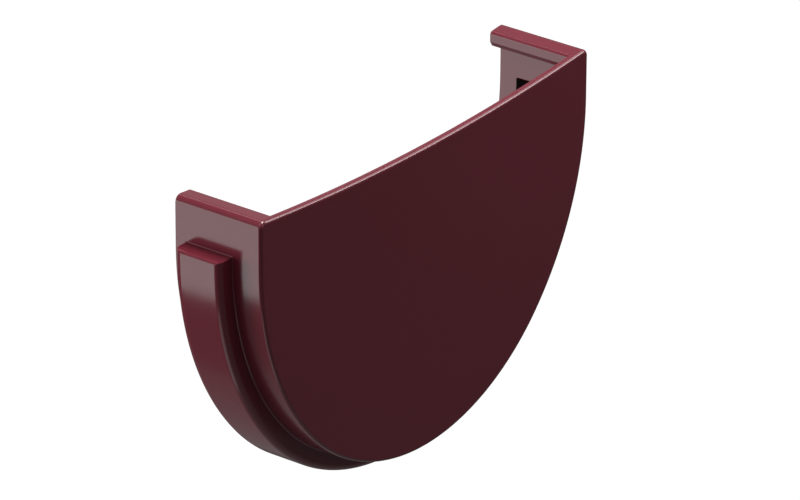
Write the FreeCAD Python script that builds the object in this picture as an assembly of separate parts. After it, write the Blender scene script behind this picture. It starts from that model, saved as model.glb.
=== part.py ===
"""End cap for a deep half-round gutter: a moulded shell and the rubber seal in its groove.

The cap stands as it hangs on the gutter. The origin is on the inside face of the end plate, in the
middle, level with the foot of the upright sides. X runs across the gutter, Y out of the open mouth
and Z up.
"""
import FreeCAD, Part
import math
import os

# Overall sizes of the cap
OUTER_WIDTH = 130.5
STRAIGHT_HEIGHT = 13.3
CURVE_DEPTH = 71.2
CAP_DEPTH = 26.0
PLATE_THICKNESS = 1.6
WALL_THICKNESS = 1.6

# The curve is three arcs: one below each side and one at the bottom, which spans this angle
BOTTOM_SPAN_DEGREES = 94.0

# End plate: hollow of its top edge and rounding of its front edge
TOP_HOLLOW = 3.25
FRONT_ROUNDING = 0.9

# Lips that hook over the two edges of the gutter
LIP_WIDTH = 6.05
LIP_HEIGHT = 4.6
LIP_OUTER_ROUNDING = 1.8
LIP_NOSE_ROUNDING = 0.9
LEAD_IN_WIDTH = 0.8
LEAD_IN_HEIGHT = 1.3

# Raised rib round the outside, which makes room for the seal
RIB_HEIGHT = 4.85
RIB_WIDTH = 14.0
RIB_TO_MOUTH = 3.3
RIB_WALL = 1.6
RIB_SIDE_WALL = 1.9
RIB_END_WALL = 1.9
RIB_FRONT_ROUNDING = 1.4
RIB_BACK_ROUNDING = 2.4
RIB_END_ROUNDING = 0.9
RIB_FOOT_ROUNDING = 0.3

# Seal: height of its two ends, how far it stands out of the wall and the bevel of its edges
SEAL_END_Z = 0.0
SEAL_PROUD = 0.4
SEAL_BEVEL = 0.3

# Sizes that follow
HALF_WIDTH = OUTER_WIDTH / 2
FRONT_Y = -PLATE_THICKNESS
MOUTH_Y = CAP_DEPTH - PLATE_THICKNESS
RIB_BACK_Y = MOUTH_Y - RIB_TO_MOUTH
RIB_FRONT_Y = RIB_BACK_Y - RIB_WIDTH
RIB_END_Z = SEAL_END_Z + RIB_END_WALL
GROOVE_FRONT_Y = RIB_FRONT_Y + RIB_SIDE_WALL
GROOVE_BACK_Y = RIB_BACK_Y - RIB_SIDE_WALL
GROOVE_OUTSET = RIB_HEIGHT - RIB_WALL
SEAL_OUTSET = -WALL_THICKNESS - SEAL_PROUD

# Arcs of the curve: the side arcs meet the bottom arc without a corner
BOTTOM_ANGLE = math.radians(BOTTOM_SPAN_DEGREES / 2)
SHARE = math.tan(BOTTOM_ANGLE / 2)
SIDE_RADIUS = (CURVE_DEPTH - HALF_WIDTH * SHARE) / (1 - SHARE)
BOTTOM_RADIUS = SIDE_RADIUS - (SIDE_RADIUS - HALF_WIDTH) / math.sin(BOTTOM_ANGLE)
BOTTOM_CENTRE_Z = BOTTOM_RADIUS - CURVE_DEPTH

# Arc of the hollow top
HOLLOW_RADIUS = (HALF_WIDTH ** 2 + TOP_HOLLOW ** 2) / (2 * TOP_HOLLOW)
HOLLOW_CENTRE_Z = STRAIGHT_HEIGHT - TOP_HOLLOW + HOLLOW_RADIUS

# How far cutting and joining shapes run past the faces they meet, and how close counts as on a face
SPARE = WALL_THICKNESS
NEAR = WALL_THICKNESS / 100


def point(x, z, y=0.0):
    """A point in the plane at depth y."""
    return FreeCAD.Vector(x, y, z)


def along(length):
    """A step out of the mouth."""
    return FreeCAD.Vector(0, length, 0)


def path(points):
    """Straight edges through the points, in order."""
    return [Part.makeLine(a, b) for a, b in zip(points, points[1:])]


def arc(a, middle, b):
    """A circular edge through three points."""
    return Part.Arc(a, middle, b).toShape()


def closed_face(edges):
    """The flat face inside a closed run of edges."""
    return Part.Face(Part.Wire(Part.__sortEdges__(edges)))


def mirrored(pair):
    """The same place on the left half."""
    return (-pair[0], pair[1])


def curve_edges(outset, y):
    """The three arcs of the curve, moved outwards by outset, in the plane at depth y."""
    side_centre_x = HALF_WIDTH - SIDE_RADIUS
    side_radius = SIDE_RADIUS + outset
    bottom_radius = BOTTOM_RADIUS + outset
    side_span = math.pi / 2 - BOTTOM_ANGLE

    def on_side(angle):
        return (side_centre_x + side_radius * math.cos(angle), -side_radius * math.sin(angle))

    start, middle, end = on_side(0.0), on_side(side_span / 2), on_side(side_span)
    bottom = (0.0, BOTTOM_CENTRE_Z - bottom_radius)
    right = arc(point(*start, y), point(*middle, y), point(*end, y))
    lowest = arc(point(*end, y), point(*bottom, y), point(*mirrored(end), y))
    left = arc(point(*mirrored(end), y), point(*mirrored(middle), y), point(*mirrored(start), y))
    return [right, lowest, left]


def hollow_z(x):
    """Height of the hollow top at a distance x from the middle."""
    return HOLLOW_CENTRE_Z - math.sqrt(HOLLOW_RADIUS ** 2 - x ** 2)


def top_corner(side_x, radius, inward):
    """Rounding between an upright side and the hollow top, on the right half.

    inward is -1 when the material lies to the left of the side and +1 when it lies to the right.
    Gives the lower end, the middle and the upper end of the rounding.
    """
    centre_x = side_x + inward * radius
    centre_z = HOLLOW_CENTRE_Z - math.sqrt((HOLLOW_RADIUS + radius) ** 2 - centre_x ** 2)
    upper_angle = math.atan2(HOLLOW_CENTRE_Z - centre_z, -centre_x)
    lower_angle = 0.0 if inward < 0 else math.pi
    angles = (lower_angle, (lower_angle + upper_angle) / 2, upper_angle)
    return [(centre_x + radius * math.cos(t), centre_z + radius * math.sin(t)) for t in angles]


def outer_block():
    """The cap before it is hollowed: its outline with the hollow top, over the whole depth."""
    low, middle, high = top_corner(HALF_WIDTH, LIP_OUTER_ROUNDING, -1)
    edges = curve_edges(0.0, FRONT_Y)
    top = [high, (0.0, hollow_z(0)), mirrored(high)]
    edges.append(arc(*[point(*place, FRONT_Y) for place in top]))
    for side in (tuple, mirrored):
        ends = [point(*side(pair), FRONT_Y) for pair in (low, middle, high)]
        edges.append(arc(*ends))
        edges += path([ends[0], point(*side((HALF_WIDTH, 0)), FRONT_Y)])
    block = closed_face(edges).extrude(along(CAP_DEPTH))
    return block.makeFillet(FRONT_ROUNDING, edges_at_depth(block, FRONT_Y))


def edges_at_depth(solid, y):
    """The edges that lie wholly in the plane at depth y."""
    return [edge for edge in solid.Edges if all(abs(end.Y - y) < NEAR for end in edge.Vertexes)]


def cavity():
    """The space inside the cap, which takes the end of the gutter and runs up into both hooks."""
    nose_x = HALF_WIDTH - LIP_WIDTH
    inner_x = HALF_WIDTH - WALL_THICKNESS
    hook_x = nose_x + WALL_THICKNESS
    lip_bottom = STRAIGHT_HEIGHT - LIP_HEIGHT
    roof = hollow_z(nose_x) - WALL_THICKNESS
    low, middle, high = top_corner(nose_x, LIP_NOSE_ROUNDING, 1)
    above = (high[0], STRAIGHT_HEIGHT + SPARE)
    corners = [
        low,
        (nose_x, lip_bottom + LEAD_IN_HEIGHT),
        (nose_x + LEAD_IN_WIDTH, lip_bottom),
        (hook_x, lip_bottom),
        (hook_x, roof),
        (inner_x, roof),
        (inner_x, 0.0),
    ]
    edges = curve_edges(-WALL_THICKNESS, 0.0)
    edges += path([point(*above), point(*mirrored(above))])
    for side in (tuple, mirrored):
        edges += path([point(*side(above)), point(*side(high))])
        edges.append(arc(point(*side(high)), point(*side(middle)), point(*side(low))))
        edges += path([point(*side(corner)) for corner in corners])
    return closed_face(edges).extrude(along(MOUTH_Y + SPARE))


def filled_curve(outset, y_from, y_to, top_z):
    """A solid with the cap's curve, larger by outset all round, up to the level top_z."""
    half_width = HALF_WIDTH + outset
    rim = [(half_width, 0.0), (half_width, top_z), (-half_width, top_z), (-half_width, 0.0)]
    corners = [point(*place, y_from) for place in rim]
    if abs(top_z) < NEAR:
        corners = [corners[0], corners[3]]
    face = closed_face(curve_edges(outset, y_from) + path(corners))
    return face.extrude(along(y_to - y_from))


def rib():
    """The raised rib, filled across the cap, with rounded outer edges and rounded ends."""
    bar = filled_curve(RIB_HEIGHT, RIB_FRONT_Y, RIB_BACK_Y, RIB_END_Z + SPARE)
    for depth, rounding in ((RIB_FRONT_Y, RIB_FRONT_ROUNDING), (RIB_BACK_Y, RIB_BACK_ROUNDING)):
        long_edges = [edge for edge in edges_at_depth(bar, depth) if edge.BoundBox.ZMin < RIB_END_Z]
        bar = bar.makeFillet(rounding, long_edges)
    return bar.common(rib_trim())


def rib_trim():
    """The space below the two ends of the rib, with the rounding of their outer corners."""
    outer_x = HALF_WIDTH + RIB_HEIGHT
    floor = BOTTOM_CENTRE_Z - BOTTOM_RADIUS - 2 * RIB_HEIGHT
    turn_x = outer_x - RIB_END_ROUNDING
    turn_z = RIB_END_Z - RIB_END_ROUNDING
    slant = RIB_END_ROUNDING * math.sqrt(0.5)
    below = [(outer_x, turn_z), (outer_x, floor), (-outer_x, floor), (-outer_x, turn_z)]
    edges = path([point(-turn_x, RIB_END_Z), point(turn_x, RIB_END_Z)])
    edges += path([point(*place) for place in below])
    for side in (tuple, mirrored):
        places = [(turn_x, RIB_END_Z), (turn_x + slant, turn_z + slant), (outer_x, turn_z)]
        edges.append(arc(*[point(*side(place)) for place in places]))
    return closed_face(edges).extrude(along(MOUTH_Y))


def groove():
    """The space in the rib that holds the seal, open to the inside of the cap."""
    return filled_curve(GROOVE_OUTSET, GROOVE_FRONT_Y, GROOVE_BACK_Y, SEAL_END_Z)


def rib_foot_edges(solid):
    """The inner corner where the rib rises from the wall."""
    edges = []
    for edge in solid.Edges:
        ends = edge.Vertexes
        at_wall = all(abs(abs(end.X) - HALF_WIDTH) < NEAR for end in ends)
        at_sides = any(all(abs(end.Y - y) < NEAR for end in ends) for y in (RIB_FRONT_Y, RIB_BACK_Y))
        at_end = all(abs(end.Z - RIB_END_Z) < NEAR for end in ends)
        if at_wall and (at_sides or at_end):
            edges.append(edge)
    return edges


def cap_shell():
    """The moulded shell: end plate, wall, hooked lips and the hollow rib."""
    solid = outer_block().fuse(rib()).removeSplitter()
    solid = solid.makeFillet(RIB_FOOT_ROUNDING, rib_foot_edges(solid))
    return solid.cut(cavity()).cut(groove()).removeSplitter()


def seal():
    """The rubber seal: a curved strip that fills the groove and stands a little out of the wall."""
    inside = filled_curve(SEAL_OUTSET, GROOVE_FRONT_Y - SPARE, GROOVE_BACK_Y + SPARE, SEAL_END_Z + SPARE)
    strip = groove().cut(inside)
    inner_edges = [
        edge for edge in edges_at_depth(strip, GROOVE_FRONT_Y) + edges_at_depth(strip, GROOVE_BACK_Y)
        if faces_inside(edge)
    ]
    return strip.makeChamfer(SEAL_BEVEL, inner_edges)


def faces_inside(edge):
    """Whether a curved edge of the seal lies on its face towards the gutter."""
    if not hasattr(edge.Curve, "Radius"):
        return False
    inner_radii = (SIDE_RADIUS + SEAL_OUTSET, BOTTOM_RADIUS + SEAL_OUTSET)
    return any(abs(edge.Curve.Radius - radius) < NEAR for radius in inner_radii)


os.makedirs("parts", exist_ok=True)
cap_shell().exportStep("parts/end_cap_shell.step")
seal().exportStep("parts/rubber_seal.step")
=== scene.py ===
"""Looks of a moulded gutter end cap: the shell, the rubber seal in its groove, and a plain stage.

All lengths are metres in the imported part's own frame: X across the gutter, Y out of the open
mouth, Z up.
"""
import math

import bpy
import numpy as np
from mathutils import Matrix, Vector


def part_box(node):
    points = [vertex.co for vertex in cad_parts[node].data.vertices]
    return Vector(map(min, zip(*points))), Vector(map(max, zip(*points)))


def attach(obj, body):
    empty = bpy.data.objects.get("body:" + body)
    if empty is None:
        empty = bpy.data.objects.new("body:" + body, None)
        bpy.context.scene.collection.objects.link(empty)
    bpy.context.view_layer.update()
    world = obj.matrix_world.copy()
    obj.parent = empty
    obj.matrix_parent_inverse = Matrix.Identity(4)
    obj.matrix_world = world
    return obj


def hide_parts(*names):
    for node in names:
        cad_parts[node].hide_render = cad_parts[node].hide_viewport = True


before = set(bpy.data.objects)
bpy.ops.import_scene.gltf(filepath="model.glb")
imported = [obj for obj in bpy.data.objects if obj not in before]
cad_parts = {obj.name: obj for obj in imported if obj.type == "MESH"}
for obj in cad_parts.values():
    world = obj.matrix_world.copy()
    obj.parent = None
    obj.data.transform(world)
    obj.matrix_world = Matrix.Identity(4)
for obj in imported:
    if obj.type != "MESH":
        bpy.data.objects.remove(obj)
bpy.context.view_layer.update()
SHELL_LOW, SHELL_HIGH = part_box("end_cap_shell")

bl_info = {
    "name": "Gutter end cap",
    "version": (1, 0, 0),
    "blender": (4, 5, 0),
    "location": "View3D > Sidebar > End cap",
    "description": "Builds a moulded gutter end cap with its seal and a plain stage",
    "category": "Object",
}

OUT_OF_MOUTH = np.array([0.0, 1.0, 0.0])
# How finely the surfaces are cut
CURVE_STEP = 0.0013  # along the cap's curve
BAND_STEP = 0.25  # across a band, as a share of its width
ROUNDING_STEP = math.radians(9)  # turn round a small rounding of the outline
HOLLOW_STEP = 0.002  # turn in radians along the hollow top's large circle
FRONT_CUTS = 6  # outlines in the plate's front rounding
MOUTH_CUTS = 4  # outlines in a rounding of the mouth
RIB_CUTS = 9  # levels in a rounding of the rib, and every second one in its foot
MICROMETRES = 1e6  # in a metre: points that round to the same one are welded
DECIMALS = 9  # of a metre: levels that round to the same number become one
FOOT_SINK = 6  # the rib's foot starts a sixth of its rounding inside the wall
PLAIN = (0.0, 0.0)  # inset and lean of a side with no rounding


def length(name, description, default):
    """A length property in metres."""
    return bpy.props.FloatProperty(
        name=name, description=description, default=default, min=0.0, unit="LENGTH", precision=5
    )


def angle(name, description, default):
    """An angle property in radians."""
    return bpy.props.FloatProperty(
        name=name, description=description, default=default, subtype="ANGLE"
    )


def colour(name, description, default):
    """A linear colour property."""
    return bpy.props.FloatVectorProperty(
        name=name, description=description, default=default,
        min=0.0, max=1.0, size=3, subtype="COLOR",
    )


def share(name, description, default):
    """A property between nothing and all."""
    return bpy.props.FloatProperty(
        name=name, description=description, default=default, min=0.0, max=1.0, subtype="FACTOR"
    )


class CapSizes(bpy.types.PropertyGroup):
    """Sizes of the shell and the seal. The rib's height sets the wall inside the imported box."""

    rib_height: length("Rib height", "How far the rib stands out of the wall", 0.00485)
    rib_width: length("Rib width", "Width of the rib along the gutter", 0.014)
    rib_to_mouth: length("Rib to mouth", "From the rib to the open mouth", 0.0033)
    rib_front_rounding: length(
        "Rib front rounding", "Rounding of the rib's long edge towards the plate", 0.0018
    )
    rib_back_rounding: length(
        "Rib back rounding", "Rounding of the rib's long edge towards the mouth", 0.0024
    )
    rib_end_rounding: length("Rib end rounding", "Rounding of the rib's end edges", 0.0009)
    rib_foot_rounding: length("Rib foot rounding", "Hollow rounding at the rib's foot", 0.0003)
    rib_end: length("Rib end", "Height of the rib's ends above the curve", 0.0019)
    upright: length("Upright height", "Height of the straight sides above the curve", 0.0133)
    bottom_span: angle("Bottom span", "Angle of the bottom arc", math.radians(94.0))
    wall: length("Wall", "Thickness of the moulded wall", 0.0016)
    top_hollow: length("Top hollow", "How far the plate's top edge dips in the middle", 0.00325)
    front_rounding: length("Front rounding", "Rounding of the plate's front edge", 0.0009)
    mouth_rounding: length("Mouth rounding", "Rounding of the mouth's edges", 0.0002)
    lip_width: length("Lip width", "Width of a lip over the wall", 0.00605)
    lip_height: length("Lip height", "Height of a lip's nose", 0.0046)
    lip_outer_rounding: length("Lip outer rounding", "Rounding of the outer top edge", 0.0018)
    lip_nose_rounding: length("Lip nose rounding", "Rounding of the nose's top edge", 0.0009)
    lead_in_width: length("Lead-in width", "Width of the bevel under the nose", 0.0008)
    lead_in_height: length("Lead-in height", "Height of the bevel under the nose", 0.0013)
    lip_start: length(
        "Lip start", "Height at which the lip's body takes over from the wall", 0.008
    )
    groove_side: length("Groove side", "Wall between the rib's side and the groove", 0.0019)
    seal_proud: length("Seal proud", "How far the seal stands out of the wall", 0.0004)
    seal_bevel: length("Seal bevel", "Bevel of the seal's inner edges", 0.0003)


class CapFinish(bpy.types.PropertyGroup):
    """Colours and gloss of the plastic and the rubber."""

    plastic: colour("Plastic", "Wine red of the moulding", (0.151, 0.0190, 0.0318))
    plastic_deep: colour(
        "Plastic, deep", "The moulding's darker clouding", (0.145, 0.0180, 0.0302)
    )
    plastic_roughness: share("Plastic roughness", "Roughness of the glossy moulding", 0.16)
    rubber: colour("Rubber", "Black of the seal", (0.0028, 0.0008, 0.0010))
    rubber_dusty: colour("Rubber, dusty", "Paler specks of the seal", (0.0048, 0.0019, 0.0023))
    rubber_roughness: share("Rubber roughness", "Roughness of the seal", 0.62)


class StageSettings(bpy.types.PropertyGroup):
    """The floor and the even light. The lamps have their own table below."""

    floor_drop: length("Floor drop", "From the cap's lowest point down to the floor", 1.20)
    floor_colour: colour("Floor colour", "The floor's own pale grey", (0.41, 0.41, 0.41))
    floor_white: share("Floor white", "White added to the floor where the camera looks", 0.97)
    ambient: share("Ambient light", "Even light from all round", 0.14)


class Skin:
    """Grids and flat lids that close a body. Bodies are welded singly and keep their normals."""

    def __init__(self):
        self.points = []
        self.normals = []
        self.bodies = []
        self.faces = []
        self.count = 0
        self.body = 0

    def _add(self, points, normals):
        """Keeps points with their normals and body, and gives the number of the first one."""
        start = self.count
        self.points.append(points.reshape(-1, 3))
        self.normals.append(np.broadcast_to(normals, points.shape).reshape(-1, 3))
        self.bodies.append(np.full((points.size // 3, 1), self.body))
        self.count += points.size // 3
        return start

    def close(self):
        """Ends a body: what is added later isn't welded to it."""
        self.body += 1

    def grid(self, points, normals):
        """Quads between neighbours of a grid of points, turned to face along the normals.

        The cross product of each quad's two diagonals tells which way it faces.
        """
        normals = np.broadcast_to(normals, points.shape)
        start = self._add(points, normals)
        index = start + np.arange(points.shape[0] * points.shape[1]).reshape(points.shape[:2])
        corners = [index[:-1, :-1], index[1:, :-1], index[1:, 1:], index[:-1, 1:]]
        quads = np.stack(corners, -1).reshape(-1, 4)
        diagonals = points[1:, 1:] - points[:-1, :-1], points[:-1, 1:] - points[1:, :-1]
        if (np.cross(*diagonals) * (normals[1:, 1:] + normals[:-1, :-1])).sum() < 0:
            quads = quads[:, ::-1]
        self.faces.append(quads)

    def lid(self, points, normal):
        """One flat face inside a closed loop of points, turned to face along the normal."""
        start = self._add(points, normal)
        index = start + np.arange(len(points))
        facing = np.cross(points, np.roll(points, -1, 0)).sum(0)
        if facing @ normal < 0:
            index = index[::-1]
        self.faces.append(index[None, :])

    def object(self, name):
        """The bodies as one object at the origin.

        Points of a body that round to the same micrometre become one, and each corner of a face
        keeps the normal of the surface that it came from.
        """
        points = np.concatenate(self.points)
        normals = np.concatenate(self.normals)
        rounded = np.round(points * MICROMETRES).astype(np.int64)
        places = np.hstack([rounded, np.concatenate(self.bodies)])
        _, first, weld = np.unique(places, axis=0, return_index=True, return_inverse=True)
        weld = weld.reshape(-1)
        faces = [face for block in self.faces for face in weld[block].tolist()]
        corners = np.concatenate([block.reshape(-1) for block in self.faces])
        mesh = bpy.data.meshes.new(name)
        mesh.from_pydata(points[first].tolist(), [], faces)
        mesh.polygons.foreach_set("use_smooth", np.ones(len(mesh.polygons), bool))
        unit = normals[corners] / np.linalg.norm(normals[corners], axis=1)[:, None]
        mesh.normals_split_custom_set(unit.tolist())
        mesh.update()
        piece = bpy.data.objects.new(name, mesh)
        bpy.context.scene.collection.objects.link(piece)
        return piece


class Outline:
    """The cap's curve as a path: s runs from the left foot of the uprights round to the right.

    Three arcs without corners between them: one below each side and one at the bottom. Before
    s = 0 and after the end, the path runs straight up the sides. The plate's hollow top is part
    of one large circle above the cap.
    """

    def __init__(self, sizes):
        self.half = SHELL_HIGH.x - sizes.rib_height
        depth = -SHELL_LOW.z - sizes.rib_height
        half_span = sizes.bottom_span / 2
        part = math.tan(half_span / 2)
        self.side_radius = (depth - self.half * part) / (1 - part)
        inset = self.side_radius - self.half
        self.bottom_radius = self.side_radius - inset / math.sin(half_span)
        self.bottom_z = self.bottom_radius - depth
        self.side_turn = math.pi / 2 - half_span
        self.side_length = self.side_radius * self.side_turn
        self.bottom_length = self.bottom_radius * sizes.bottom_span
        self.length = 2 * self.side_length + self.bottom_length
        self.rise = sizes.upright
        dip = sizes.top_hollow
        self.hollow_radius = (self.half ** 2 + dip ** 2) / (2 * dip)
        self.hollow_z = self.rise - dip + self.hollow_radius

    def at(self, s):
        """Place on the curve and outward direction at s, both as (x, z).

        The direction is (cos, sin) of an angle that grows by length over radius along each arc,
        and the place is the arc's centre plus radius times the direction.
        """
        first, second = self.side_length, self.side_length + self.bottom_length
        turn = np.pi + self.side_turn
        angle_at = np.select(
            [s < 0, s < first, s < second, s < self.length],
            [
                np.full_like(s, np.pi),
                np.pi + s / self.side_radius,
                turn + (s - first) / self.bottom_radius,
                2 * np.pi - self.side_turn + (s - second) / self.side_radius,
            ],
            np.full_like(s, 2 * np.pi),
        )
        on_bottom = (s >= first) & (s < second)
        radius = np.where(on_bottom, self.bottom_radius, self.side_radius)
        side_x = np.where(s < first, self.side_radius - self.half, self.half - self.side_radius)
        centre_x = np.where(on_bottom, 0.0, side_x)
        centre_z = np.where(on_bottom, self.bottom_z, 0.0)
        centre_z = centre_z + np.where(s < 0, -s, 0.0)
        centre_z = centre_z + np.where(s > self.length, s - self.length, 0.0)
        out = np.stack([np.cos(angle_at), np.sin(angle_at)], -1)
        return np.stack([centre_x, centre_z], -1) + radius[..., None] * out, out

    def place(self, s, y, outset):
        """Point at s, moved outwards by outset, at depth y."""
        s, y, outset = np.broadcast_arrays(np.asarray(s, float), y, outset)
        base, out = self.at(s)
        flat = base + outset[..., None] * out
        return np.stack([flat[..., 0], y, flat[..., 1]], -1)

    def turn(self, s, forward, deep, outward):
        """Direction made of a share along the path, a share along Y and a share outwards."""
        s, forward, deep, outward = np.broadcast_arrays(
            np.asarray(s, float), forward, deep, outward
        )
        _, out = self.at(s)
        along = np.stack([-out[..., 1], out[..., 0]], -1)
        flat = forward[..., None] * along + outward[..., None] * out
        return np.stack([flat[..., 0], deep, flat[..., 1]], -1)

    def top_z(self, x):
        """Height of the hollow top at x: its circle's centre less the leg left by x."""
        return self.hollow_z - math.sqrt(self.hollow_radius ** 2 - x ** 2)

    def top_corner(self, side_x, radius, inward):
        """Rounding between an upright side and the hollow top on the right half.

        Its centre lies one radius beside the side and one radius below the top's circle. Gives
        the centre and the angle at which the rounding meets the top.
        """
        x = side_x + inward * radius
        z = self.hollow_z - math.sqrt((self.hollow_radius + radius) ** 2 - x ** 2)
        return (x, z), math.atan2(self.hollow_z - z, -x)

    def hollow_angle(self, x):
        """Angle of the place on the hollow top's circle at x."""
        return math.atan2(self.top_z(x) - self.hollow_z, x)

    def hollow_run(self, start, end):
        """Run along the hollow top between two angles."""
        return bend((0, self.hollow_z), self.hollow_radius, start, end, HOLLOW_STEP)


def steps(a, b, size):
    """Even values from a to b, no further apart than size."""
    return np.linspace(a, b, max(2, int(math.ceil(abs(b - a) / size)) + 1))


def between(pair, size):
    """Even values from one end of a range to the other, size being a share of the range."""
    return pair[0] + (pair[1] - pair[0]) * steps(0, 1, size)


def straight(a, b):
    """Run of an outline from a to b, walked with the body on the left.

    Gives its points and outward directions: the run's own direction, a quarter turn clockwise.
    """
    a, b = np.array(a, float), np.array(b, float)
    away = np.array([b[1] - a[1], a[0] - b[0]])
    away /= np.linalg.norm(away)
    return np.stack([a, b]), np.stack([away, away])


def bend(centre, radius, start, end, size=ROUNDING_STEP):
    """Run of an outline round a centre: centre plus radius times (cos, sin) of the angle.

    It bulges out where the angle grows and hollows where it falls.
    """
    angles = steps(start, end, size)
    ray = np.stack([np.cos(angles), np.sin(angles)], -1)
    return np.array(centre) + radius * ray, ray if end > start else -ray


def mirror_runs(runs):
    """The same outline on the left half, walked the same way round."""
    flip = np.array([-1.0, 1.0])
    return [(points[::-1] * flip, normals[::-1] * flip) for points, normals in reversed(runs)]


def prism(skin, runs, bands):
    """Carries a closed outline in X and Z along Y.

    bands is a list of bands, each a list of (inset, y, lean): the outline is drawn inwards by
    inset, and the surface leans from its outward direction towards +Y by the angle lean, so its
    normal is cos(lean) outwards plus sin(lean) along Y. Where two runs meet at a corner, the
    inset follows the line that halves the corner. The first and last outlines get lids.
    """
    drawn = []
    for index, (points, normals) in enumerate(runs):
        before, after = runs[index - 1][1][-1], runs[(index + 1) % len(runs)][1][0]
        split = normals.copy()
        split[0] = (normals[0] + before) / (1 + normals[0] @ before)
        split[-1] = (normals[-1] + after) / (1 + normals[-1] @ after)
        drawn.append((points, normals, split))
    for band in bands:
        inset, depth, lean = (np.array(column)[:, None] for column in zip(*band))
        for points, normals, split in drawn:
            flat = points[None] - inset[..., None] * split[None]
            shape = flat.shape[:2]
            places = np.stack([flat[..., 0], np.broadcast_to(depth, shape), flat[..., 1]], -1)
            tilt = np.cos(lean)[..., None] * normals[None]
            rise = np.broadcast_to(np.sin(lean), shape)
            skin.grid(places, np.stack([tilt[..., 0], rise, tilt[..., 1]], -1))
    for end, facing in ((bands[0][0], -OUT_OF_MOUTH), (bands[-1][-1], OUT_OF_MOUTH)):
        inset, depth, _ = end
        loop = np.concatenate([(points - inset * split)[:-1] for points, _, split in drawn])
        skin.lid(np.stack([loop[:, 0], np.full(len(loop), depth), loop[:, 1]], -1), facing)
    skin.close()


def quarter(radius, count):
    """Quarter rounding as (inset, drop, lean), for a lean from 0 to a quarter turn.

    inset is radius times (1 - cos lean). drop, the distance still to go to the end face, is
    radius times (1 - sin lean).
    """
    leans = np.linspace(0, np.pi / 2, count)
    return [(radius * (1 - math.cos(a)), radius * (1 - math.sin(a)), a) for a in leans]


def same_sides(outset, side):
    """A level of a curved box whose front, back and ends are alike."""
    return outset, side, side, side


def curved_box(skin, outline, span, depths, levels, crest):
    """A box bent along the outline: its front, back and two ends.

    span is its range of s and depths its range of y. levels is a list of (outset, front, back,
    ends), each of the last three an (inset, lean) pair: how far that side is drawn in and how
    far it leans towards the crest, so its normal is cos(lean) sideways plus sin(lean) outwards.
    crest is +1 where the last level faces outwards and -1 where it faces inwards. Gives back
    the last level's values of s, y and outset, for a lid.
    """
    outset = np.array([level[0] for level in levels])[:, None]
    front, back, ends = (np.array([level[k] for level in levels]) for k in (1, 2, 3))
    start, stop = span[0] + ends[:, :1], span[1] - ends[:, :1]
    near, far = depths[0] + front[:, :1], depths[1] - back[:, :1]
    along = between((start, stop), CURVE_STEP / (span[1] - span[0]))
    across = between((near, far), BAND_STEP)
    for side, y, lean in ((-1, near, front[:, 1:]), (1, far, back[:, 1:])):
        normals = outline.turn(along, 0.0, side * np.cos(lean), crest * np.sin(lean))
        skin.grid(outline.place(along, y, outset), normals)
    lean = ends[:, 1:]
    for side, s in ((-1, start), (1, stop)):
        s = np.broadcast_to(s, across.shape)
        normals = outline.turn(s, side * np.cos(lean), 0.0, crest * np.sin(lean))
        skin.grid(outline.place(s, across, outset), normals)
    return along[-1], across[-1], float(outset[-1, 0])


def curved_lid(skin, outline, along, across, outset, facing):
    """A sheet that follows the outline at one outset, over every s in along and y in across."""
    s, y = np.meshgrid(along, across, indexing="ij")
    skin.grid(outline.place(s, y, outset), outline.turn(s, 0.0, 0.0, facing))


def edge_profile(outsets, low, high, low_rounding, high_rounding):
    """Inset and lean at each outset of a side with rounded lower and upper edges.

    Inside a rounding, the sine of the lean is the way past the rounding's start over its radius,
    and the inset is the radius times (1 - cos lean). Elsewhere both are nothing.
    """
    pairs = []
    for n in outsets:
        inset, lean = PLAIN
        if high_rounding and n > high - high_rounding:
            lean = math.asin(min(1.0, (n - high + high_rounding) / high_rounding))
            inset = high_rounding * (1 - math.cos(lean))
        elif low_rounding and n < low + low_rounding:
            lean = -math.asin(min(1.0, (low + low_rounding - n) / low_rounding))
            inset = low_rounding * (1 - math.cos(lean))
        pairs.append((inset, lean))
    return pairs


def plate_runs(sizes, outline):
    """Outline of the end plate: curve, uprights, rounded top corners and hollow top."""
    half, rounding = outline.half, sizes.lip_outer_rounding
    centre, meet = outline.top_corner(half, rounding, -1)
    edge = outline.hollow_angle(centre[0] + rounding * math.cos(meet))
    curve = outline.at(steps(0, outline.length, CURVE_STEP))
    right_side = [
        straight((half, 0), (half, centre[1])),
        bend(centre, rounding, 0, meet),
    ]
    top = outline.hollow_run(edge, -math.pi - edge)
    return [curve, *right_side, top, *mirror_runs(right_side)]


def lip_runs(sizes, outline):
    """Outline of the right lip: over the top, down the nose, back through the hook and up."""
    half, wall = outline.half, sizes.wall
    outer_rounding, nose_rounding = sizes.lip_outer_rounding, sizes.lip_nose_rounding
    nose_x = half - sizes.lip_width
    hook_x = nose_x + wall
    bottom = outline.rise - sizes.lip_height
    roof = outline.top_z(nose_x) - wall
    outer, outer_meet = outline.top_corner(half, outer_rounding, -1)
    nose, nose_meet = outline.top_corner(nose_x, nose_rounding, 1)
    first = outline.hollow_angle(outer[0] + outer_rounding * math.cos(outer_meet))
    last = outline.hollow_angle(nose[0] + nose_rounding * math.cos(nose_meet))
    corners = [
        (nose_x, nose[1]),
        (nose_x, bottom + sizes.lead_in_height),
        (nose_x + sizes.lead_in_width, bottom),
        (hook_x, bottom),
        (hook_x, roof),
        (half - wall, roof),
        (half - wall, sizes.lip_start),
        (half, sizes.lip_start),
        (half, outer[1]),
    ]
    over_the_top = [
        bend(outer, outer_rounding, 0, outer_meet),
        outline.hollow_run(first, last),
        bend(nose, nose_rounding, nose_meet, math.pi),
    ]
    return over_the_top + [straight(a, b) for a, b in zip(corners, corners[1:])]


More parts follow.
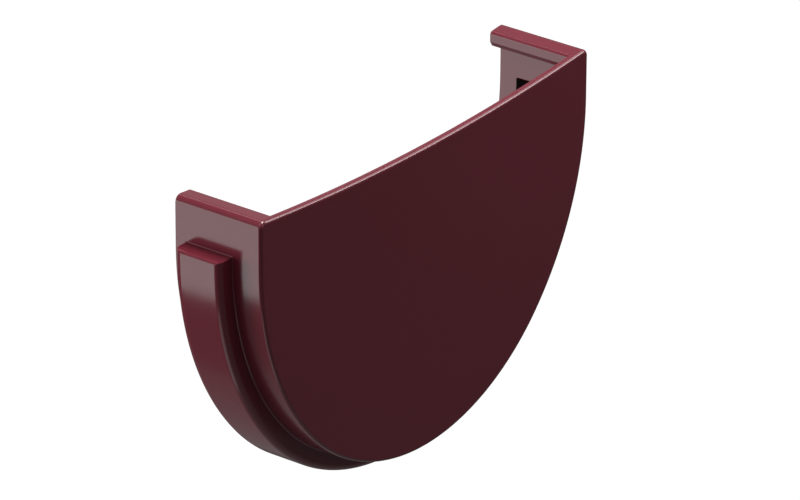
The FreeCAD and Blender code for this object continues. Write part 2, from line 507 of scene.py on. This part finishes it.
def build_plate(skin, sizes, outline, front_y):
    """The end plate: its outline carried from the rounded front edge to its inside face."""
    rounding = reversed(quarter(sizes.front_rounding, FRONT_CUTS))
    front = [(inset, front_y + drop, -lean) for inset, drop, lean in rounding]
    side = [(0.0, front_y + sizes.front_rounding, 0.0), (0.0, 0.0, 0.0)]
    prism(skin, plate_runs(sizes, outline), [front, side])


def build_lips(skin, sizes, outline, mouth_y):
    """Both hooked lips: their outline carried from the plate to the rounded mouth."""
    rounding = quarter(sizes.mouth_rounding, MOUTH_CUTS)
    side = [(0.0, 0.0, 0.0), (0.0, mouth_y - sizes.mouth_rounding, 0.0)]
    mouth = [(inset, mouth_y - drop, lean) for inset, drop, lean in rounding]
    right = lip_runs(sizes, outline)
    for runs in (right, mirror_runs(right)):
        prism(skin, runs, [side, mouth])


def build_wall(skin, sizes, outline, rib_from, rib_to, mouth_y):
    """The wall beside the rib: a band next to the plate, one at the mouth and two short uprights.

    Each is a curved box between the wall's inner and outer face. Only the band at the mouth is
    rounded, on both of its back edges.
    """
    wall, rim = sizes.wall, sizes.mouth_rounding
    whole = (-sizes.lip_start, outline.length + sizes.lip_start)
    left = (whole[0], -sizes.rib_end)
    right = (outline.length + sizes.rib_end, whole[1])
    bands = [
        (whole, (0.0, rib_from), 0.0),
        (whole, (rib_to, mouth_y), rim),
        (left, (rib_from, rib_to), 0.0),
        (right, (rib_from, rib_to), 0.0),
    ]
    turn = np.sin(np.linspace(0, np.pi / 2, MOUTH_CUTS))
    outsets = np.concatenate([-wall + rim * (1 - turn[::-1]), -rim * (1 - turn)])
    plain = [PLAIN] * len(outsets)
    for span, depths, rounding in bands:
        back = edge_profile(outsets, -wall, 0.0, rounding, rounding)
        levels = list(zip(outsets, plain, back, plain))
        along, across, top = curved_box(skin, outline, span, depths, levels, 1)
        curved_lid(skin, outline, along, across, top, 1)
        curved_lid(skin, outline, along, across, -wall, -1)
        skin.close()


def build_rib(skin, sizes, outline, rib_from, rib_to):
    """The rib round the outside and the groove inside it.

    From the wall's inner face it rises through the wall, spreads in a hollow foot, stands
    upright and rounds over. Each side has its own rounding, and the corners between them stay
    sharp. On the foot, for an angle from 0 to a quarter turn, a side stands off by the rounding
    times (1 - sin) at the height of the rounding times (1 - cos).
    """
    height, foot, wall = sizes.rib_height, sizes.rib_foot_rounding, sizes.wall
    roundings = (sizes.rib_front_rounding, sizes.rib_back_rounding, sizes.rib_end_rounding)
    sunk = foot / FOOT_SINK
    turns = np.linspace(0, np.pi / 2, RIB_CUTS)
    rise = np.concatenate([height - r + r * np.sin(turns) for r in roundings])
    rise = np.unique(np.round(rise, DECIMALS))
    levels = [same_sides(-wall, PLAIN), same_sides(-sunk, PLAIN), same_sides(-sunk, (-foot, 0.0))]
    for a in turns[::2]:
        side = (-foot + foot * math.sin(a), math.pi / 2 - a)
        levels.append(same_sides(foot - foot * math.cos(a), side))
    levels += zip(rise, *[edge_profile(rise, 0.0, height, 0.0, r) for r in roundings])
    span, depths = (-sizes.rib_end, outline.length + sizes.rib_end), (rib_from, rib_to)
    along, across, top = curved_box(skin, outline, span, depths, levels, 1)
    curved_lid(skin, outline, along, across, top, 1)
    build_groove(skin, sizes, outline, span, depths)
    skin.close()


def build_groove(skin, sizes, outline, span, depths):
    """The groove that holds the seal: a ring of wall round its opening, its sides and its floor.

    The ring lies between the rib's own ranges of s and y and the groove's narrower ones, at the
    wall's inner face. The sides rise from there to the floor, all square to each other.
    """
    wall, floor = sizes.wall, sizes.rib_height - sizes.wall
    inner_span = (0.0, outline.length)
    inner_depths = (depths[0] + sizes.groove_side, depths[1] - sizes.groove_side)
    size = CURVE_STEP / (span[1] - span[0])
    wide, narrow = between(span, size), between(inner_span, size)
    outer_across, inner_across = between(depths, BAND_STEP), between(inner_depths, BAND_STEP)
    outsets = np.array([[-wall], [floor]])
    for outer_y, inner_y, inwards in zip(depths, inner_depths, (1.0, -1.0)):
        s = np.stack([wide, narrow])
        y = np.stack([np.full_like(wide, outer_y), np.full_like(wide, inner_y)])
        skin.grid(outline.place(s, y, -wall), outline.turn(s, 0.0, 0.0, -1.0))
        s = np.stack([narrow, narrow])
        skin.grid(outline.place(s, inner_y, outsets), outline.turn(s, 0.0, inwards, 0.0))
    for outer_s, inner_s, inwards in zip(span, inner_span, (1.0, -1.0)):
        y = np.stack([outer_across, inner_across])
        s = np.stack([np.full_like(outer_across, outer_s), np.full_like(outer_across, inner_s)])
        skin.grid(outline.place(s, y, -wall), outline.turn(s, 0.0, 0.0, -1.0))
        s = np.full((2, len(inner_across)), inner_s)
        skin.grid(outline.place(s, inner_across, outsets), outline.turn(s, inwards, 0.0, 0.0))
    curved_lid(skin, outline, narrow, inner_across, floor, -1)


def build_seal(skin, sizes, outline, rib_from, rib_to):
    """The seal: a bent strip from the groove's floor to just proud of the wall.

    Its two long inner edges have a bevel at 45 degrees, which carries its slant as its lean.
    """
    floor = sizes.rib_height - sizes.wall
    crest = -sizes.wall - sizes.seal_proud
    bevel, slant = sizes.seal_bevel, math.pi / 4
    span = (0.0, outline.length)
    depths = (rib_from + sizes.groove_side, rib_to - sizes.groove_side)
    levels = [same_sides(floor, PLAIN), same_sides(crest + bevel, PLAIN)]
    curved_box(skin, outline, span, depths, levels, -1)
    levels = [
        (crest + bevel, (0.0, slant), (0.0, slant), PLAIN),
        (crest, (bevel, slant), (bevel, slant), PLAIN),
    ]
    along, across, top = curved_box(skin, outline, span, depths, levels, -1)
    curved_lid(skin, outline, along, across, top, -1)
    curved_lid(skin, outline, along, between(depths, BAND_STEP), floor, 1)


class Value:
    """A number socket that can be added and multiplied: each sign adds a Math node."""

    def __init__(self, nodes, socket):
        self.nodes = nodes
        self.socket = socket

    def _math(self, operation, first, second):
        """One Math node on two numbers or values."""
        return self.nodes.value("ShaderNodeMath", {"operation": operation}, {0: first, 1: second})

    def __add__(self, other):
        return self._math("ADD", self, other)

    def __radd__(self, other):
        return self._math("ADD", other, self)

    def __mul__(self, other):
        return self._math("MULTIPLY", self, other)

    def __rmul__(self, other):
        return self._math("MULTIPLY", other, self)


class Nodes:
    """Fills a material's or a world's nodes, one by one from type, settings and sockets."""

    def __init__(self, owner):
        self.tree = owner.node_tree
        self.tree.nodes.clear()

    def add(self, kind, settings=None, sockets=None):
        """Adds a node. Settings are set first, then each socket gets a value or a link."""
        node = self.tree.nodes.new(kind)
        for key, value in (settings or {}).items():
            setattr(node, key, value)
        for key, value in (sockets or {}).items():
            target = node.inputs[key]
            if isinstance(value, Value):
                self.tree.links.new(value.socket, target)
            elif isinstance(value, bpy.types.NodeSocket):
                self.tree.links.new(value, target)
            else:
                target.default_value = value
        return node

    def output(self, kind, settings=None, sockets=None, name=0):
        """Adds a node and gives one of its output sockets."""
        return self.add(kind, settings, sockets).outputs[name]

    def value(self, kind, settings=None, sockets=None, name=0):
        """Adds a node and gives one of its outputs as a number for expressions."""
        return Value(self, self.output(kind, settings, sockets, name))

    def place(self):
        """The piece's own coordinates."""
        return self.output("ShaderNodeTexCoord", name="Object")

    def noise(self, coordinates, scale, detail, roughness):
        """Soft noise between 0 and 1, about scale bumps to the metre."""
        sockets = {
            "Vector": coordinates, "Scale": scale, "Detail": detail, "Roughness": roughness,
        }
        return self.value("ShaderNodeTexNoise", {"noise_dimensions": "3D"}, sockets, "Fac")

    def blend(self, factor, first, second):
        """A colour between two, by a factor. The Mix node's colours are 6 and 7 in and 2 out."""
        sockets = {0: factor, 6: (*first, 1.0), 7: (*second, 1.0)}
        return self.output("ShaderNodeMix", {"data_type": "RGBA"}, sockets, 2)

    def relief(self, height, strength, distance):
        """Normal tilted by a height, which is distance deep at full strength."""
        sockets = {"Strength": strength, "Distance": distance, "Height": height}
        return self.output("ShaderNodeBump", None, sockets, "Normal")


def new_material(name):
    """A new material and its empty nodes."""
    material = bpy.data.materials.new(name)
    material.use_nodes = True
    return material, Nodes(material)


# Patterns of the finishes: noise scale, detail and roughness
CLOUDS = (55.0, 4.0, 0.55)
GRAIN = (900.0, 2.0, 0.5)
RIPPLE = (130.0, 2.0, 0.45)
PITS = (1400.0, 2.0, 0.6)
BLOOM = (160.0, 3.0, 0.5)
# How far the patterns raise the roughness, and how far below its own value the plastic starts
CLOUD_GLOSS, GRAIN_GLOSS, BLOOM_GLOSS, GLOSS_DROP = 0.04, 0.03, 0.12, 0.03
# The plastic's relief is mostly ripple, with a little grain
RIPPLE_SHARE, GRAIN_SHARE = 0.85, 0.15
PLASTIC_INDEX, RUBBER_INDEX, RUBBER_SPECULAR = 1.65, 1.5, 0.02
WHITE = (1.0, 1.0, 1.0, 1.0)


def plastic_finish(look):
    """Glossy moulded plastic: faint clouding of the red, uneven gloss and a slight ripple."""
    material, nodes = new_material("moulded_wine_red")
    place = nodes.place()
    clouds, grain, ripple = (nodes.noise(place, *pattern) for pattern in (CLOUDS, GRAIN, RIPPLE))
    lowest = look.plastic_roughness - GLOSS_DROP
    height = ripple * RIPPLE_SHARE + grain * GRAIN_SHARE
    shader = nodes.output("ShaderNodeBsdfPrincipled", None, {
        "Base Color": nodes.blend(clouds, look.plastic_deep, look.plastic),
        "Roughness": lowest + clouds * CLOUD_GLOSS + grain * GRAIN_GLOSS,
        "IOR": PLASTIC_INDEX,
        "Normal": nodes.relief(height, strength=0.10, distance=0.00012),
    })
    nodes.add("ShaderNodeOutputMaterial", None, {"Surface": shader})
    return material


def rubber_finish(look):
    """Black seal rubber: matt, finely pitted, with a little pale bloom."""
    material, nodes = new_material("seal_rubber_black")
    place = nodes.place()
    pits, bloom = (nodes.noise(place, *pattern) for pattern in (PITS, BLOOM))
    shader = nodes.output("ShaderNodeBsdfPrincipled", None, {
        "Base Color": nodes.blend(bloom, look.rubber, look.rubber_dusty),
        "Roughness": look.rubber_roughness + bloom * BLOOM_GLOSS,
        "IOR": RUBBER_INDEX,
        "Specular IOR Level": RUBBER_SPECULAR,
        "Normal": nodes.relief(pits, strength=0.25, distance=0.0001),
    })
    nodes.add("ShaderNodeOutputMaterial", None, {"Surface": shader})
    return material


def depths_of(sizes):
    """Front face, rib and mouth along Y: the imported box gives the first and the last."""
    mouth_y = SHELL_HIGH.y
    rib_to = mouth_y - sizes.rib_to_mouth
    return SHELL_LOW.y, rib_to - sizes.rib_width, rib_to, mouth_y


def finish_piece(piece, material, node):
    """Gives a piece its material and body, and hides the imported node that it stands for."""
    piece.data.materials.append(material)
    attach(piece, "root")
    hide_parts(node)


class ENDCAP_OT_shell(bpy.types.Operator):
    """Builds the moulded shell: end plate, wall, hooked lips and the rib with its groove"""

    bl_idname = "endcap.shell"
    bl_label = "Moulded shell"

    def execute(self, context):
        sizes = context.scene.endcap_sizes
        outline = Outline(sizes)
        front_y, rib_from, rib_to, mouth_y = depths_of(sizes)
        skin = Skin()
        build_plate(skin, sizes, outline, front_y)
        build_lips(skin, sizes, outline, mouth_y)
        build_wall(skin, sizes, outline, rib_from, rib_to, mouth_y)
        build_rib(skin, sizes, outline, rib_from, rib_to)
        shell = skin.object("moulded_shell")
        plastic = plastic_finish(context.scene.endcap_finish)
        finish_piece(shell, plastic, "end_cap_shell")
        return {"FINISHED"}


class ENDCAP_OT_seal(bpy.types.Operator):
    """Builds the rubber seal that lies in the groove"""

    bl_idname = "endcap.seal"
    bl_label = "Rubber seal"

    def execute(self, context):
        sizes = context.scene.endcap_sizes
        _, rib_from, rib_to, _ = depths_of(sizes)
        skin = Skin()
        build_seal(skin, sizes, Outline(sizes), rib_from, rib_to)
        seal = skin.object("seal_strip")
        rubber = rubber_finish(context.scene.endcap_finish)
        finish_piece(seal, rubber, "rubber_seal")
        return {"FINISHED"}


# Softboxes: name, direction from the cap, distance, width, height, brightness of the surface
SOFTBOXES = [
    ("overhead", (0.13, -0.04, 0.98), 0.65, 0.28, 0.28, 21.3),
    ("overhead_soft", (0.35, 0.05, 0.93), 0.65, 0.60, 0.56, 0.35),
    ("overhead_left", (-0.55, 0.15, 0.82), 0.95, 0.60, 0.80, 0.75),
    ("back_strip", (0.277, 0.548, 0.79), 0.65, 0.06, 0.16, 2.7),
    ("key_left", (0.190, -0.185, 0.173), 0.317, 0.11, 0.08, 1.4),
    ("key_right", (0.290, -0.185, 0.173), 0.386, 0.11, 0.08, 8.0),
    ("key_top", (0.270, -0.097, 0.273), 0.396, 0.14, 0.10, 2.1),
    ("front", (0.0, -0.93, 0.37), 0.90, 0.30, 0.30, 0.9),
    ("side_back", (-0.60, 0.80, 0.02), 0.90, 0.30, 0.34, 13.0),
    ("soft_left", (-0.785, 0.591, -0.188), 0.85, 0.40, 0.65, 1.65),
    ("under_left", (-0.62, -0.05, -0.78), 0.80, 0.42, 0.42, 0.50),
    ("under_back", (0.12, 0.55, -0.83), 0.80, 0.66, 0.50, 0.07),
    ("back_left", (-0.402, 0.862, 0.309), 0.85, 0.50, 0.42, 1.2),
    ("back_right", (0.72, 0.56, 0.42), 0.50, 0.24, 0.14, 0.20),
]
LAMPS_AIM = Vector((0.0, 0.012, -0.025))
FLOOR_REACH = 6.0  # from the middle of the floor to its sides

# Camera: turned left of the cap's axis, raised and slightly rolled, with its aim and distance
CAMERA_TURN = math.radians(52.705)
CAMERA_RISE = math.radians(25.295)
CAMERA_ROLL = math.radians(0.291)
CAMERA_AIM = Vector((-0.011363, -0.001537, -0.013684))
CAMERA_DISTANCE = 1.657489
CAMERA_REACH = 20.0  # it sees no further
SENSOR_WIDTH = 36.0  # millimetres
LENS_PER_WIDTH = 6861.45 / 800.0  # focal length in pixels over the picture's width in pixels


def floor_finish(stage):
    """Pale floor that the camera sees as white, so no horizon shows. It keeps its shadows."""
    material, nodes = new_material("pale_floor")
    grey = (*stage.floor_colour, 1.0)
    seen_by_camera = nodes.output("ShaderNodeLightPath", name="Is Camera Ray")
    pale = nodes.output("ShaderNodeBsdfDiffuse", None, {"Color": grey})
    glow = nodes.output("ShaderNodeEmission", None, {
        "Color": WHITE, "Strength": stage.floor_white,
    })
    white = nodes.output("ShaderNodeAddShader", None, {0: pale, 1: glow})
    shown = nodes.output("ShaderNodeMixShader", None, {0: seen_by_camera, 1: pale, 2: white})
    nodes.add("ShaderNodeOutputMaterial", None, {"Surface": shown})
    return material


def place_floor(stage):
    """One level square below the cap."""
    reach, level = FLOOR_REACH, SHELL_LOW.z - stage.floor_drop
    corners = [(-reach, -reach), (reach, -reach), (reach, reach), (-reach, reach)]
    mesh = bpy.data.meshes.new("floor")
    mesh.from_pydata([(x, y, level) for x, y in corners], [], [(0, 1, 2, 3)])
    mesh.materials.append(floor_finish(stage))
    floor = bpy.data.objects.new("floor", mesh)
    bpy.context.scene.collection.objects.link(floor)


def even_light(stage):
    """World: white where the camera looks, and a weak even light for everything else."""
    world = bpy.data.worlds.new("even_light")
    world.use_nodes = True
    nodes = Nodes(world)
    seen_by_camera = nodes.output("ShaderNodeLightPath", name="Is Camera Ray")
    white, weak = (
        nodes.output("ShaderNodeBackground", None, {"Color": WHITE, "Strength": strength})
        for strength in (1.0, stage.ambient)
    )
    light = nodes.output("ShaderNodeMixShader", None, {0: seen_by_camera, 1: weak, 2: white})
    nodes.add("ShaderNodeOutputWorld", None, {"Surface": light})
    bpy.context.scene.world = world


def softbox(name, direction, distance, width, height, brightness):
    """A rectangular lamp that faces the cap: power = area times pi times brightness."""
    lamp = bpy.data.lights.new(name, "AREA")
    lamp.shape = "RECTANGLE"
    lamp.size = width
    lamp.size_y = height
    lamp.energy = brightness * math.pi * width * height
    holder = bpy.data.objects.new(name, lamp)
    away = Vector(direction).normalized()
    holder.location = LAMPS_AIM + away * distance
    holder.rotation_euler = away.to_track_quat("Z", "Y").to_euler()
    holder.visible_camera = False
    bpy.context.scene.collection.objects.link(holder)


def place_camera():
    """Camera at the photograph's angle.

    back points from the aim to the camera: left by the turn, towards the plate and up by the
    rise. right and up are square to it and are turned together by the roll.
    """
    turn, rise, roll = CAMERA_TURN, CAMERA_RISE, CAMERA_ROLL
    back = Vector((
        -math.sin(turn) * math.cos(rise), -math.cos(turn) * math.cos(rise), math.sin(rise)
    ))
    right = Vector((0, 0, 1)).cross(back).normalized()
    up = back.cross(right)
    rolled_right = right * math.cos(roll) + up * math.sin(roll)
    rolled_up = up * math.cos(roll) - right * math.sin(roll)
    camera = bpy.data.cameras.new("view")
    camera.sensor_width = SENSOR_WIDTH
    camera.lens = LENS_PER_WIDTH * camera.sensor_width
    camera.clip_end = CAMERA_REACH
    holder = bpy.data.objects.new("view", camera)
    turned = Matrix((rolled_right, rolled_up, back)).transposed().to_4x4()
    holder.matrix_world = Matrix.Translation(CAMERA_AIM + back * CAMERA_DISTANCE) @ turned
    bpy.context.scene.collection.objects.link(holder)
    bpy.context.scene.camera = holder


class ENDCAP_OT_stage(bpy.types.Operator):
    """Sets the floor, the lamps, the even light and the camera"""

    bl_idname = "endcap.stage"
    bl_label = "Stage"

    def execute(self, context):
        stage = context.scene.endcap_stage
        place_floor(stage)
        even_light(stage)
        for settings in SOFTBOXES:
            softbox(*settings)
        place_camera()
        context.scene.view_settings.view_transform = "Standard"
        return {"FINISHED"}


class ENDCAP_PT_panel(bpy.types.Panel):
    """Sidebar panel with the cap's sizes, finishes and steps"""

    bl_idname = "ENDCAP_PT_panel"
    bl_label = "Gutter end cap"
    bl_space_type = "VIEW_3D"
    bl_region_type = "UI"
    bl_category = "End cap"

    def draw(self, context):
        for heading, name in HEADINGS.items():
            group = getattr(context.scene, name)
            box = self.layout.box()
            box.label(text=heading)
            for setting in GROUPS[name].__annotations__:
                box.prop(group, setting)
        for operator in OPERATORS:
            self.layout.operator(operator.bl_idname)


OPERATORS = (ENDCAP_OT_shell, ENDCAP_OT_seal, ENDCAP_OT_stage)
GROUPS = {"endcap_sizes": CapSizes, "endcap_finish": CapFinish, "endcap_stage": StageSettings}
HEADINGS = {"Sizes": "endcap_sizes", "Finish": "endcap_finish", "Stage": "endcap_stage"}
CLASSES = (*GROUPS.values(), *OPERATORS, ENDCAP_PT_panel)


def register():
    """Registers the classes and hangs the three groups of settings on the scene."""
    for item in CLASSES:
        bpy.utils.register_class(item)
    for name, group in GROUPS.items():
        setattr(bpy.types.Scene, name, bpy.props.PointerProperty(type=group))


def unregister():
    """Takes away what register added."""
    for name in GROUPS:
        delattr(bpy.types.Scene, name)
    for item in reversed(CLASSES):
        bpy.utils.unregister_class(item)


def main():
    """Registers the add-on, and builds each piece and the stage."""
    register()
    bpy.ops.endcap.shell()
    bpy.ops.endcap.seal()
    bpy.ops.endcap.stage()


if __name__ == "__main__":
    main()
